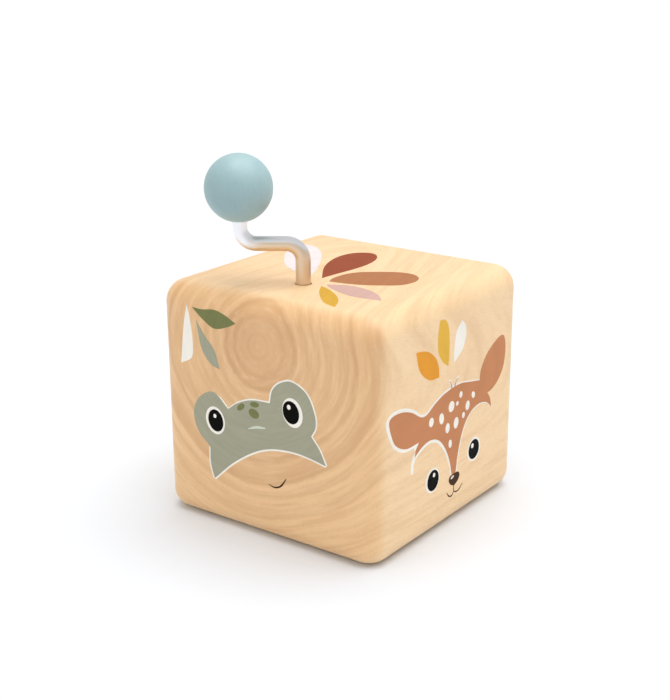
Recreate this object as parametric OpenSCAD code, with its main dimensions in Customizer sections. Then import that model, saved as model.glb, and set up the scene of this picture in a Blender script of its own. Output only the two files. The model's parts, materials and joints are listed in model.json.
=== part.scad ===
// Hand-cranked wooden music box cube: a hollow block of solid wood with a bent
// steel crank and a ball knob on top, and a cylinder-and-comb movement inside.
// Origin: middle of the block's underside. +Z is up, the front face looks to -Y.
// Sizes are millimetres.

/* [Block] */
// Width of the block, left to right
block_w = 90; // [86:0.5:110]
// Depth of the block, front to back
block_d = 90; // [88:0.5:110]
// Height of the block
block_h = 83; // [78:0.5:100]
// Radius of the upright edges and the top edges
edge_r = 8; // [7:0.5:10]
// Radius of the bottom edges
foot_r = 6.5; // [4:0.5:6.5]

/* [Hollow and base plate] */
// Width of the hollow
cavity_w = 62; // [60:1:64]
// Depth of the hollow
cavity_d = 64; // [63:1:66]
// Corner radius of the hollow
cavity_r = 16; // [14:1:18]
// Wood left above the hollow
top_t = 14; // [12:0.5:16]
// Width of the rebate that takes the base plate
rebate_w = 70; // [70:0.5:72]
// Depth of the rebate
rebate_d = 72; // [72:0.5:74]
// Corner radius of the rebate
rebate_r = 8; // [6:0.5:9]
// Thickness of the plywood base plate
plate_t = 5; // [4:0.5:6]
// How far the base plate sits up inside the rebate
plate_inset = 0.6; // [0.4:0.1:1]
// Gap round the base plate
plate_gap = 0.2; // [0.1:0.05:0.3]

/* [Crank] */
// Diameter of the bent steel rod
rod_d = 5; // [4.8:0.1:5.2]
// Place of the crank's axis, left to right
crank_x = -1; // [-1.5:0.1:0]
// Place of the crank's axis, front to back
crank_y = -20.8; // [-21:0.1:-20.5]
// Height of the arm's centre line
arm_z = 96.5; // [94.5:0.5:100]
// Length of the arm, axis to axis
arm_l = 20.6; // [18:0.1:23]
// Direction of the arm at rest, in degrees
arm_turn = -145.7; // [-180:0.1:180]
// Radius of both bends, on the centre line
bend_r = 5.5; // [4:0.1:7]
// Diameter of the ball knob
ball_d = 22.5; // [21:0.5:26]
// Height of the ball's centre above the arm's centre line
ball_rise = 18.5; // [17:0.1:20]

/* [Movement] */
// Module of the worm and its gear
tooth_m = 0.7; // [0.68:0.01:0.72]
// Teeth on the gear: one turn of the tune takes as many turns of the crank
gear_teeth = 22; // [21:1:23]
// Pitch radius of the worm
worm_pitch_r = 3.2; // [3.2:0.1:3.3]
// Diameter of the pinned drum
drum_d = 14; // [13:0.5:14]
// Length of the drum
drum_l = 23; // [22:0.5:23]
// Number of comb teeth, one for each note
notes = 18; // [16:1:18]
// Distance from one note to the next
note_pitch = 1.15; // [1.05:0.01:1.15]

/* [Hidden] */

$fn = 64;
cut = 1;             // how far a cutting shape runs past the face that it cuts
run_gap = 0.05;      // radial clearance of a running fit
end_gap = 0.4;       // play at the end of a shaft
screw_gap = 0.2;     // how much wider a clearance hole is than its screw

wood_colour = [0.90, 0.76, 0.56];
plywood_colour = [0.84, 0.70, 0.50];
ball_colour = [0.60, 0.75, 0.77];
steel_colour = [0.76, 0.77, 0.79];
zinc_colour = [0.62, 0.63, 0.65];
brass_colour = [0.80, 0.66, 0.36];
lead_colour = [0.42, 0.43, 0.46];
nylon_colour = [0.94, 0.94, 0.92];

// Base plate and its wood screws
ledge_z = plate_inset + plate_t;
base_screw_x = 28.5;
base_screw_y = 29.5;
wood_screw_d = 2.9;
wood_screw_l = 14;
wood_screw_head_d = 5.6;
wood_screw_head_h = 1.6;
sound_hole_d = 3.5;
sound_ring_r = 10;
sound_ring_holes = 8;

// Machine screws, tapping into the casting or the wood
big_screw_d = 2.5;
big_head_d = 4.6;
big_head_h = 1.8;
small_screw_d = 2;
small_head_d = 3.6;
small_head_h = 1.3;
frame_screw_l = 10;
bridge_screw_l = 7;
bracket_screw_l = 4;
comb_screw_l = 8;

// Heights: everything in the movement hangs from the ceiling of the hollow
ceiling_z = block_h - top_t;
bed_t = 3;
bed_z = ceiling_z - bed_t;
axis_drop = 13;
axis_z = ceiling_z - axis_drop;

// Hole through the top and the bush in it
rod_r = rod_d / 2;
rod_gap = 0.3;
bush_r = 4;
bush_l = 9;
bush_flange_r = 5.5;
bush_flange_t = 1;

// Worm shaft
shaft_r = 2;
shaft_rise = 2;
shaft_drop = 23.4;
shaft_top_z = ceiling_z + shaft_rise;
shaft_shoulder_z = ceiling_z - shaft_drop;
pivot_r = 1.25;
pivot_l = 3;
spigot_r = 1.25;
spigot_l = 8;
tapped_depth = 9;
boss_r = 4.6;
boss_l = 3.5;
washer_r = 4;
washer_t = 0.7;
washer_gap = 0.1;

// Worm: left-handed, so that a clockwise crank pushes the comb tips off the frame
lead = PI * tooth_m;
worm_rise = 0.65;
worm_drop = 0.75;
worm_tip_r = worm_pitch_r + worm_rise;
worm_root_r = worm_pitch_r - worm_drop;
worm_l = 11.2;
worm_turns = 8;
worm_start = -4.5;   // turns below the middle, which sets a tooth space of the worm at mid height
worm_steps = 24;
tooth_share = 0.36;
flank_slope = tan(20);

// Gear and drum axis, parallel to Y
gear_pitch_r = tooth_m * gear_teeth / 2;
gear_rise = 0.6;
gear_drop = 0.85;
gear_tip_r = gear_pitch_r + gear_rise;
gear_root_r = gear_pitch_r - gear_drop;
gear_t = 2.6;
axis_x = crank_x + worm_pitch_r + gear_pitch_r;
arbor_r = 1;
arbor_stub = 0.4;
hub_r = 2.5;
side_play = 0.3;
drum_y0 = -17.6;
drum_y1 = drum_y0 + drum_l;
drum_r = drum_d / 2;
drum_wall = 0.8;
cap_t = 1.2;
pin_r = 0.2;
pin_rise = 0.8;
pin_root = 0.4;
pin_turn = 137.5;    // turn of the pins from one note to the next
pin_stagger = 11;
first_note_y = -15.3;

// Frame casting
bed_x0 = -25;
bed_x1 = 24.5;
bed_y0 = -29.5;
bed_y1 = 14;
bed_chamfer = 3;
cheek_x0 = -10;
cheek_x1 = 16;
cheek_y0 = -27.6;
cheek_y1 = -25.2;
post_r = 2.4;
post_x = 7;
post_y = -27;
bridge_top_z = shaft_shoulder_z - end_gap;
bridge_t = 2.2;
bridge_eye_r = 3.5;
bridge_chamfer = 1;
frame_screw_x = 21;
frame_screw_y0 = -26;
frame_screw_y1 = 10.8;

// Rear bracket
bracket_y0 = drum_y1 + 1.8;
bracket_t = 1.8;
bracket_w = 8;
bracket_foot_w = 14;
bracket_foot_t = 1.6;
bracket_screw_x = 4.6;
bracket_screw_y = bracket_y0 + 3.8;
bracket_foot_margin = 2.2;

// Comb
comb_tip_gap = 0.3;
comb_tip_x = axis_x - drum_r - pin_rise - comb_tip_gap;
comb_heel_x = -21;
comb_heel_t = 1.8;
comb_tooth_t = 0.8;
comb_tooth_w = 0.85;
treble_root_x = -6;
bass_root_x = -12.5;
comb_y0 = first_note_y - note_pitch / 2;
comb_y1 = first_note_y + (notes - 0.5) * note_pitch;
comb_top_z = axis_z + 1;
pedestal_x0 = comb_heel_x - 1;
pedestal_x1 = -13;
pedestal_margin = 0.6;
comb_screw_x = -17;
comb_screw_y = [comb_y0 + 4, comb_y1 - 4];
weight_count = 9;
weight_t = 1.2;
weight_l = 1.6;      // the lightest one
weight_step = 0.3;   // how much longer each next one is
weight_setback = 2.4;

// Ball knob
ball_z = arm_z + ball_rise;
knob_bush_r = 4;
knob_bush_inset = 1.3;
knob_bore_z = ball_z + 5.8;
neck_r = rod_r - 0.5;
neck_z = ball_z - 1.2;
neck_l = 2;
rib_play = 0.3;
rod_end_z = ball_z + 4.8;
rod_chamfer = 0.6;

function note_y(i) = first_note_y + i * note_pitch;
function root_x(i) = treble_root_x + (bass_root_x - treble_root_x) * i / (notes - 1);

// ---------- shared shapes ----------

module quarter_disc(r) {
    intersection() {
        circle(r = r);
        square(r + cut);
    }
}

// Flat rectangle with round corners, centred
module rounded_rect(w, d, r) {
    x = w / 2 - r;
    y = d / 2 - r;
    square([2 * x, d], center = true);
    square([w, 2 * y], center = true);
    for (corner = [[x, y, 0], [-x, y, 90], [-x, -y, 180], [x, -y, 270]])
        translate([corner[0], corner[1]])
            rotate(corner[2])
                quarter_disc(r);
}

// Flat rectangle with its corners cut off, from one corner to the opposite one
module chamfered_rect(x0, y0, x1, y1, c) {
    polygon([
        [x0 + c, y0], [x1 - c, y0], [x1, y0 + c], [x1, y1 - c],
        [x1 - c, y1], [x0 + c, y1], [x0, y1 - c], [x0, y0 + c]
    ]);
}

// Cross recess for a screw head, cut from z = 0 upward
module cross_recess(size, depth) {
    for (turn = [0, 90])
        rotate([0, 0, turn])
            translate([-size / 2, -size / 8, -cut])
                cube([size, size / 4, depth + cut]);
}

// Round-headed screw: the head hangs below z = 0 and the shank stands above it
module pan_screw(d, l, head_d, head_h) {
    difference() {
        union() {
            translate([0, 0, -head_h])
                cylinder(h = head_h, d1 = head_d * 0.8, d2 = head_d);
            cylinder(h = l - d / 2, d = d);
            translate([0, 0, l - d / 2])
                cylinder(h = d / 2, d1 = d, d2 = d * 0.4);
        }
        translate([0, 0, -head_h])
            cross_recess(head_d * 0.6, head_h * 0.6);
    }
}

// Countersunk screw: the flat of the head is at z = 0 and the point is up
module countersunk_screw(d, l, head_d, head_h) {
    difference() {
        union() {
            cylinder(h = head_h, d1 = head_d, d2 = d);
            translate([0, 0, head_h])
                cylinder(h = l - head_h - d, d = d);
            translate([0, 0, l - d])
                cylinder(h = d, d1 = d, d2 = 0.4);
        }
        cross_recess(head_d * 0.6, head_h * 0.8);
    }
}

// Ring or disc whose axis is the drum's axis, from y0 to y1
module on_drum_axis(y0, y1) {
    translate([axis_x, y1, axis_z])
        rotate([90, 0, 0])
            linear_extrude(y1 - y0)
                children();
}

module at_base_screws() {
    for (x = [-base_screw_x, base_screw_x], y = [-base_screw_y, base_screw_y])
        translate([x, y, plate_inset])
            children();
}

module at_frame_screws() {
    for (x = [-frame_screw_x, frame_screw_x], y = [frame_screw_y0, frame_screw_y1])
        translate([x, y, bed_z])
            children();
}

module at_bridge_screws() {
    for (x = [-post_x, post_x])
        translate([crank_x + x, post_y, bridge_top_z - bridge_t])
            children();
}

module at_bracket_screws() {
    for (side = [-1, 1])
        translate([axis_x + side * bracket_screw_x, bracket_screw_y, bed_z - bracket_foot_t])
            children();
}

module at_comb_screws() {
    for (y = comb_screw_y)
        translate([comb_screw_x, y, comb_top_z - comb_heel_t])
            children();
}

// ---------- block ----------

// Upright section of the block's edge: small radius below, large one above
module edge_profile() {
    square([edge_r - foot_r, foot_r]);
    translate([edge_r - foot_r, foot_r])
        rotate(-90)
            quarter_disc(foot_r);
    translate([0, foot_r])
        square([edge_r, block_h - edge_r - foot_r]);
    translate([0, block_h - edge_r])
        quarter_disc(edge_r);
}

module block_outside() {
    x = block_w / 2 - edge_r;
    y = block_d / 2 - edge_r;
    translate([-x, -y, 0])
        cube([2 * x, 2 * y, block_h]);
    for (corner = [[x, y, 0], [-x, y, 90], [-x, -y, 180], [x, -y, 270]])
        translate([corner[0], corner[1], 0])
            rotate([0, 0, corner[2]])
                rotate_extrude(angle = 90)
                    edge_profile();
    for (turn = [0, 180])
        rotate([0, 0, turn]) {
            translate([-x, y, 0])
                rotate([90, 0, 90])
                    linear_extrude(2 * x)
                        edge_profile();
            translate([x, y, 0])
                rotate([90, 0, 0])
                    linear_extrude(2 * y)
                        edge_profile();
        }
}

module block() {
    color(wood_colour)
        difference() {
            block_outside();
            translate([0, 0, -cut])
                linear_extrude(ceiling_z + cut)
                    rounded_rect(cavity_w, cavity_d, cavity_r);
            translate([0, 0, -cut])
                linear_extrude(ledge_z + cut)
                    rounded_rect(rebate_w, rebate_d, rebate_r);
            translate([crank_x, crank_y, ceiling_z - cut])
                cylinder(h = top_t + 2 * cut, r = rod_r + rod_gap);
            translate([crank_x, crank_y, ceiling_z - cut])
                cylinder(h = bush_l + cut, r = bush_r);
            translate([crank_x, crank_y, ceiling_z - cut])
                cylinder(h = bush_flange_t + cut, r = bush_flange_r);
            at_base_screws()
                translate([0, 0, plate_t - cut])
                    cylinder(h = wood_screw_l - plate_t + 2 * cut, d = wood_screw_d);
            at_frame_screws()
                cylinder(h = frame_screw_l + cut, d = big_screw_d);
        }
}

module base_plate() {
    color(plywood_colour)
        difference() {
            translate([0, 0, plate_inset])
                linear_extrude(plate_t)
                    rounded_rect(rebate_w - 2 * plate_gap, rebate_d - 2 * plate_gap, rebate_r);
            at_base_screws() {
                cylinder(h = plate_t + cut, d = wood_screw_d);
                cylinder(h = wood_screw_head_h, d1 = wood_screw_head_d, d2 = wood_screw_d);
            }
            // Sound holes: one in the middle and a ring round it
            translate([0, 0, -cut])
                cylinder(h = ledge_z + 2 * cut, d = sound_hole_d);
            for (i = [0:sound_ring_holes - 1])
                rotate([0, 0, 360 * i / sound_ring_holes])
                    translate([sound_ring_r, 0, -cut])
                        cylinder(h = ledge_z + 2 * cut, d = sound_hole_d);
        }
}

module base_screws() {
    color(steel_colour)
        at_base_screws()
            countersunk_screw(wood_screw_d, wood_screw_l, wood_screw_head_d, wood_screw_head_h);
}

// Flanged sleeve that the rod turns in, pushed up from inside the hollow
module top_bush() {
    color(nylon_colour)
        translate([crank_x, crank_y, ceiling_z])
            difference() {
                union() {
                    cylinder(h = bush_l, r = bush_r);
                    cylinder(h = bush_flange_t, r = bush_flange_r);
                }
                translate([0, 0, -cut])
                    cylinder(h = bush_l + 2 * cut, r = rod_r + run_gap);
            }
}

// ---------- crank ----------

// Quarter bend in the upright plane of the arm, from start_turn on
module rod_bend(start_turn) {
    rotate([90, 0, 0])
        rotate([0, 0, start_turn])
            rotate_extrude(angle = 90)
                translate([bend_r, 0])
                    circle(r = rod_r);
}

module crank_rod() {
    color(steel_colour)
        translate([crank_x, crank_y, 0])
            rotate([0, 0, arm_turn]) {
                translate([0, 0, shaft_top_z - spigot_l])
                    cylinder(h = spigot_l, r = spigot_r);
                translate([0, 0, shaft_top_z])
                    cylinder(h = arm_z - bend_r - shaft_top_z, r = rod_r);
                translate([bend_r, 0, arm_z - bend_r])
                    rod_bend(90);
                translate([bend_r, 0, arm_z])
                    rotate([0, 90, 0])
                        cylinder(h = arm_l - 2 * bend_r, r = rod_r);
                translate([arm_l - bend_r, 0, arm_z + bend_r])
                    rod_bend(270);
                translate([arm_l, 0, arm_z + bend_r])
                    cylinder(h = neck_z - arm_z - bend_r, r = rod_r);
                translate([arm_l, 0, neck_z])
                    cylinder(h = neck_l, r = neck_r);
                translate([arm_l, 0, neck_z + neck_l])
                    cylinder(h = rod_end_z - neck_z - neck_l - rod_chamfer, r = rod_r);
                translate([arm_l, 0, rod_end_z - rod_chamfer])
                    cylinder(h = rod_chamfer, r1 = rod_r, r2 = rod_r - rod_chamfer);
            }
}

module at_knob() {
    translate([crank_x, crank_y, 0])
        rotate([0, 0, arm_turn])
            translate([arm_l, 0, 0])
                children();
}

module knob_ball() {
    color(ball_colour)
        at_knob()
            difference() {
                translate([0, 0, ball_z])
                    sphere(d = ball_d);
                translate([0, 0, ball_z - ball_d])
                    cylinder(h = knob_bore_z - ball_z + ball_d, r = knob_bush_r);
            }
}

// Sleeve pressed into the ball, with a rib that snaps into the rod's groove
module knob_bush() {
    bush_z0 = ball_z - ball_d / 2 + knob_bush_inset;
    rib_z0 = neck_z + rib_play;
    rib_z1 = neck_z + neck_l - rib_play;
    color(nylon_colour)
        at_knob()
            difference() {
                translate([0, 0, bush_z0])
                    cylinder(h = knob_bore_z - bush_z0, r = knob_bush_r);
                translate([0, 0, bush_z0 - cut])
                    cylinder(h = rib_z0 - bush_z0 + cut, r = rod_r + run_gap);
                translate([0, 0, rib_z0 - cut])
                    cylinder(h = rib_z1 - rib_z0 + 2 * cut, r = neck_r + run_gap);
                translate([0, 0, rib_z1])
                    cylinder(h = rod_end_z + rib_play - rib_z1, r = rod_r + run_gap);
            }
}

// ---------- worm drive ----------

module worm_shaft() {
    color(steel_colour)
        translate([crank_x, crank_y, 0])
            difference() {
                union() {
                    translate([0, 0, shaft_shoulder_z])
                        cylinder(h = shaft_top_z - shaft_shoulder_z, r = shaft_r);
                    translate([0, 0, shaft_shoulder_z - pivot_l])
                        cylinder(h = pivot_l, r = pivot_r);
                }
                translate([0, 0, shaft_top_z - tapped_depth])
                    cylinder(h = tapped_depth + cut, r = spigot_r);
            }
}

// Right-handed screw surface that starts at z = 0, as one closed shape.
// Each step round the axis adds the four corners of one tooth space and crest.
module screw_surface(turns) {
    pitch_w = tooth_share * lead;
    root_w = pitch_w + 2 * (worm_pitch_r - worm_root_r) * flank_slope;
    tip_w = pitch_w - 2 * (worm_tip_r - worm_pitch_r) * flank_slope;
    section = [
        [worm_root_r, (lead - root_w) / 2], [worm_tip_r, (lead - tip_w) / 2],
        [worm_tip_r, (lead + tip_w) / 2], [worm_root_r, (lead + root_w) / 2]
    ];
    n = turns * worm_steps;
    points = [
        for (i = [0:n], corner = section)
            let (turn = 360 * i / worm_steps)
            [corner[0] * cos(turn), corner[0] * sin(turn), corner[1] + lead * i / worm_steps],
        [0, 0, 0],
        [0, 0, lead * (turns + 1)]
    ];
    bottom = 4 * (n + 1);
    top = bottom + 1;
    sides = [
        for (i = [0:n - 1], j = [0:2])
            [4 * i + j, 4 * i + j + 1, 4 * i + j + 5, 4 * i + j + 4]
    ];
    joins = [
        for (i = [0:n - worm_steps - 1])
            let (above = i + worm_steps)
            [4 * i + 3, 4 * above, 4 * above + 4, 4 * i + 7]
    ];
    low_rim = concat(
        [for (i = [0:worm_steps]) 4 * i],
        [3, 2, 1]
    );
    high_rim = concat(
        [for (i = [n - worm_steps:n]) 4 * i + 3],
        [4 * n + 2, 4 * n + 1, 4 * n]
    );
    rim = len(low_rim);
    low_cap = [for (k = [0:rim - 1]) [bottom, low_rim[k], low_rim[(k + 1) % rim]]];
    high_cap = [for (k = [0:rim - 1]) [top, high_rim[(k + 1) % rim], high_rim[k]]];
    halves = [for (q = concat(sides, joins), h = [0, 1]) [q[0], q[1 + h], q[2 + h]]];
    polyhedron(points, concat(halves, low_cap, high_cap), convexity = 12);
}

module worm() {
    color(brass_colour)
        translate([crank_x, crank_y, axis_z])
            difference() {
                intersection() {
                    mirror([0, 1, 0])
                        translate([0, 0, worm_start * lead])
                            screw_surface(worm_turns);
                    cube([3 * worm_tip_r, 3 * worm_tip_r, worm_l], center = true);
                }
                cylinder(h = worm_l + 2 * cut, r = shaft_r, center = true);
            }
}

module thrust_washer() {
    color(nylon_colour)
        translate([crank_x, crank_y, bed_z - boss_l - washer_t])
            difference() {
                cylinder(h = washer_t, r = washer_r);
                translate([0, 0, -cut])
                    cylinder(h = washer_t + 2 * cut, r = shaft_r + washer_gap);
            }
}

// ---------- frame of the movement ----------

module movement_frame() {
    color(zinc_colour)
        difference() {
            union() {
                translate([0, 0, bed_z])
                    linear_extrude(bed_t)
                        chamfered_rect(bed_x0, bed_y0, bed_x1, bed_y1, bed_chamfer);
                // Front cheek with a post at each end of the bridge
                translate([cheek_x0, cheek_y0, bridge_top_z])
                    cube([cheek_x1 - cheek_x0, cheek_y1 - cheek_y0, bed_z - bridge_top_z]);
                for (x = [-post_x, post_x])
                    translate([crank_x + x, post_y, bridge_top_z])
                        cylinder(h = bed_z - bridge_top_z, r = post_r);
                // Boss that the worm shaft turns in
                translate([crank_x, crank_y, bed_z - boss_l])
                    cylinder(h = boss_l, r = boss_r);
                // Pedestal that the comb is screwed to
                translate([pedestal_x0, comb_y0 - pedestal_margin, comb_top_z])
                    cube([
                        pedestal_x1 - pedestal_x0,
                        comb_y1 - comb_y0 + 2 * pedestal_margin,
                        bed_z - comb_top_z
                    ]);
            }
            translate([crank_x, crank_y, bed_z - boss_l - cut])
                cylinder(h = boss_l + bed_t + 2 * cut, r = shaft_r + run_gap);
            on_drum_axis(cheek_y0 - cut, cheek_y1 + cut)
                circle(r = arbor_r + run_gap);
            at_frame_screws()
                translate([0, 0, -cut])
                    cylinder(h = bed_t + 2 * cut, d = big_screw_d + screw_gap);
            at_bridge_screws()
                translate([0, 0, bridge_t - cut])
                    cylinder(h = bridge_screw_l + cut, d = small_screw_d);
            at_bracket_screws()
                translate([0, 0, bracket_foot_t - cut])
                    cylinder(h = bed_t + 2 * cut, d = small_screw_d);
            at_comb_screws()
                translate([0, 0, comb_heel_t - cut])
                    cylinder(h = comb_screw_l + cut, d = big_screw_d);
        }
}

module frame_screws() {
    color(steel_colour)
        at_frame_screws()
            pan_screw(big_screw_d, frame_screw_l, big_head_d, big_head_h);
}

// Plate under the worm that carries the shaft's lower pivot
module worm_bridge() {
    half_w = post_x + post_r;
    bar_y0 = post_y - post_r;
    bar_y1 = post_y + post_r;
    color(zinc_colour)
        translate([crank_x, 0, bridge_top_z - bridge_t])
            difference() {
                union() {
                    linear_extrude(bridge_t)
                        chamfered_rect(-half_w, bar_y0, half_w, bar_y1, bridge_chamfer);
                    translate([-bridge_eye_r, bar_y1 - cut, 0])
                        cube([2 * bridge_eye_r, crank_y - bar_y1 + cut, bridge_t]);
                    translate([0, crank_y, 0])
                        cylinder(h = bridge_t, r = bridge_eye_r);
                }
                translate([0, crank_y, -cut])
                    cylinder(h = bridge_t + 2 * cut, r = pivot_r + run_gap);
                for (x = [-post_x, post_x])
                    translate([x, post_y, -cut])
                        cylinder(h = bridge_t + 2 * cut, d = small_screw_d + screw_gap);
            }
}

module bridge_screws() {
    color(steel_colour)
        at_bridge_screws()
            pan_screw(small_screw_d, bridge_screw_l, small_head_d, small_head_h);
}

module rear_bracket() {
    foot_x0 = axis_x - bracket_foot_w / 2;
    foot_d = bracket_screw_y + bracket_foot_margin - bracket_y0;
    color(zinc_colour)
        difference() {
            union() {
                translate([foot_x0, bracket_y0, bed_z - bracket_foot_t])
                    cube([bracket_foot_w, foot_d, bracket_foot_t]);
                translate([axis_x - bracket_w / 2, bracket_y0, axis_z])
                    cube([bracket_w, bracket_t, bed_z - axis_z]);
                on_drum_axis(bracket_y0, bracket_y0 + bracket_t)
                    circle(d = bracket_w);
            }
            on_drum_axis(bracket_y0 - cut, bracket_y0 + bracket_t + cut)
                circle(r = arbor_r + run_gap);
            at_bracket_screws()
                translate([0, 0, -cut])
                    cylinder(h = bracket_foot_t + 2 * cut, d = small_screw_d + screw_gap);
        }
}

module bracket_screws() {
    color(steel_colour)
        at_bracket_screws()
            pan_screw(small_screw_d, bracket_screw_l, small_head_d, small_head_h);
}

// ---------- drum ----------

module drum_arbor() {
    color(steel_colour)
        on_drum_axis(cheek_y0 + arbor_stub, bracket_y0 + bracket_t + arbor_stub)
            circle(r = arbor_r);
}

// Straight-toothed gear with a tooth space on the side that faces the worm
module drive_gear() {
    half_tooth = function (r) tooth_share * lead / 2 - (r - gear_pitch_r) * flank_slope;
    corners = [
        for (i = [0:gear_teeth - 1], k = [-2, -1, 1, 2])
            let (
                r = abs(k) == 2 ? gear_root_r : gear_tip_r,
                side = (k < 0 ? -1 : 1) * asin(half_tooth(r) / r),
                turn = 180 + 360 * (i + 0.5) / gear_teeth + side
            )
            [r * cos(turn), r * sin(turn)]
    ];
    color(brass_colour)
        difference() {
            union() {
                on_drum_axis(crank_y - gear_t / 2, crank_y + gear_t / 2)
                    polygon(corners);
                on_drum_axis(cheek_y1 + end_gap, drum_y0)
                    circle(r = hub_r);
            }
            on_drum_axis(cheek_y1 - cut, drum_y0 + cut)
                circle(r = arbor_r);
        }
}

module drum() {
    color(brass_colour)
        on_drum_axis(drum_y0, drum_y1)
            difference() {
                circle(r = drum_r);
                circle(r = drum_r - drum_wall);
            }
}

module drum_end_caps() {
    color(brass_colour)
        difference() {
            union() {
                for (y = [drum_y0, drum_y1 - cap_t])
                    on_drum_axis(y, y + cap_t)
                        circle(r = drum_r - drum_wall);
                on_drum_axis(drum_y1 - cap_t / 2, bracket_y0 - side_play)
                    circle(r = hub_r);
            }
            on_drum_axis(drum_y0 - cut, bracket_y0 + cut)
                circle(r = arbor_r);
        }
}

// Four or five pins for each note, turned on from note to note
module drum_pins() {
    color(steel_colour)
        for (i = [0:notes - 1]) {
            pins = 4 + i % 2;
            for (k = [0:pins - 1])
                translate([axis_x, note_y(i), axis_z])
                    rotate([0, pin_turn * i + 360 * k / pins + pin_stagger * (k % 3), 0])
                        translate([0, 0, drum_r - pin_root])
                            cylinder(h = pin_root + pin_rise, r = pin_r, $fn = 16);
        }
}

// ---------- comb ----------

module comb() {
    color(steel_colour)
        difference() {
            union() {
                translate([0, 0, comb_top_z - comb_heel_t])
                    linear_extrude(comb_heel_t)
                        polygon([
                            [comb_heel_x, comb_y0], [treble_root_x, comb_y0],
                            [bass_root_x, comb_y1], [comb_heel_x, comb_y1]
                        ]);
                for (i = [0:notes - 1])
                    translate([root_x(i) - 1, note_y(i) - comb_tooth_w / 2, axis_z - comb_tooth_t / 2])
                        cube([comb_tip_x - root_x(i) + 1, comb_tooth_w, comb_tooth_t]);
            }
            at_comb_screws()
                translate([0, 0, -cut])
                    cylinder(h = comb_heel_t + 2 * cut, d = big_screw_d + screw_gap);
        }
}

module comb_screws() {
    color(steel_colour)
        at_comb_screws()
            pan_screw(big_screw_d, comb_screw_l, big_head_d, big_head_h);
}

// Lead weights under the longest teeth, heavier towards the lowest note
module comb_weights() {
    color(lead_colour)
        for (k = [0:weight_count - 1]) {
            i = notes - weight_count + k;
            l = weight_l + weight_step * k;
            z = axis_z - comb_tooth_t / 2 - weight_t;
            translate([comb_tip_x - weight_setback - l, note_y(i) - comb_tooth_w / 2, z])
                cube([l, comb_tooth_w, weight_t]);
        }
}

block();
base_plate();
base_screws();
top_bush();
crank_rod();
knob_ball();
knob_bush();
worm_shaft();
worm();
thrust_washer();
movement_frame();
frame_screws();
worm_bridge();
bridge_screws();
rear_bracket();
bracket_screws();
drum_arbor();
drive_gear();
drum();
drum_end_caps();
drum_pins();
comb();
comb_screws();
comb_weights();
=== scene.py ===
"""Looks of a hand-cranked wooden music box cube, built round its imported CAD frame.

Everything is in metres in the part's own frame: +Z is up and the front face looks to -Y.
The printed shapes are outlines in millimetres on the face that they lie on, and each one
becomes a thin closed skin of ink that follows the block's round edges.
"""
import json
import math

import bmesh
import bpy
import numpy as np
from mathutils import Matrix, Vector
from mathutils.geometry import delaunay_2d_cdt


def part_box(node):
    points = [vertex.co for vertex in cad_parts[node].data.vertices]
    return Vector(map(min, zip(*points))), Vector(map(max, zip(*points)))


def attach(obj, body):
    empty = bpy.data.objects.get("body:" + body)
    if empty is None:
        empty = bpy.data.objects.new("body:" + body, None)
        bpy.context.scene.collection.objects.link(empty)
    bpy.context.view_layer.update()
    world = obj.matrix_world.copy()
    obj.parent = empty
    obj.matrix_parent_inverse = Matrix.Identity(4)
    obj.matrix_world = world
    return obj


MM = 0.001
EDGE_RADIUS = 8.0            # mm, upright and top edges of the block
DRAWING_HEIGHT = 81.0        # mm, heights of prints on the upright faces start this far below the top
INK_STEP = 0.03              # mm, height of one layer of ink above the one under it
INK_ROOT = 0.02              # mm, how far a skin of ink goes into the wood
INK_APART = 0.0012           # mm, between shapes of one layer, so that none share a surface

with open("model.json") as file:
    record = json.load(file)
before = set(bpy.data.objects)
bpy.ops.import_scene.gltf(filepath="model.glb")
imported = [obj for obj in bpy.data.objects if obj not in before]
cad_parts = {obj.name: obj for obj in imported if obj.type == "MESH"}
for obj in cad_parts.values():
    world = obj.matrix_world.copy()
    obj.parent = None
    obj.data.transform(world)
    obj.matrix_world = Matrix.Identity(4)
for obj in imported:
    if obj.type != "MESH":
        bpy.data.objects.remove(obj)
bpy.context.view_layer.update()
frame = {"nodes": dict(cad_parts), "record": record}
nodes = frame["nodes"]

block_low, block_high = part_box("block")
DRAWING_FOOT = block_high.z / MM - DRAWING_HEIGHT

# The centres of the round edges. Every print stays above the bottom ones, so they count as square.
INNER_LOW = np.array([block_low.x / MM + EDGE_RADIUS, block_low.y / MM + EDGE_RADIUS, 0.0])
INNER_HIGH = np.array([side / MM - EDGE_RADIUS for side in block_high])

# The two directions on each printed face, seen from outside: to the right, and up
FACES = {
    "front": ((1, 0, 0), (0, 0, 1)),
    "right": ((0, 1, 0), (0, 0, 1)),
    "back": ((-1, 0, 0), (0, 0, 1)),
    "left": ((0, -1, 0), (0, 0, 1)),
    "top": ((1, 0, 0), (0, 1, 0)),
}


# ---------- colours and shader helpers ----------


def srgb(red, green, blue):
    """A colour given in 0 to 255 as it is seen, as the linear values that a shader takes."""
    linear = []
    for level in (red, green, blue):
        level = level / 255
        linear.append(level / 12.92 if level <= 0.04045 else ((level + 0.055) / 1.055) ** 2.4)
    return (*linear, 1.0)


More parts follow.
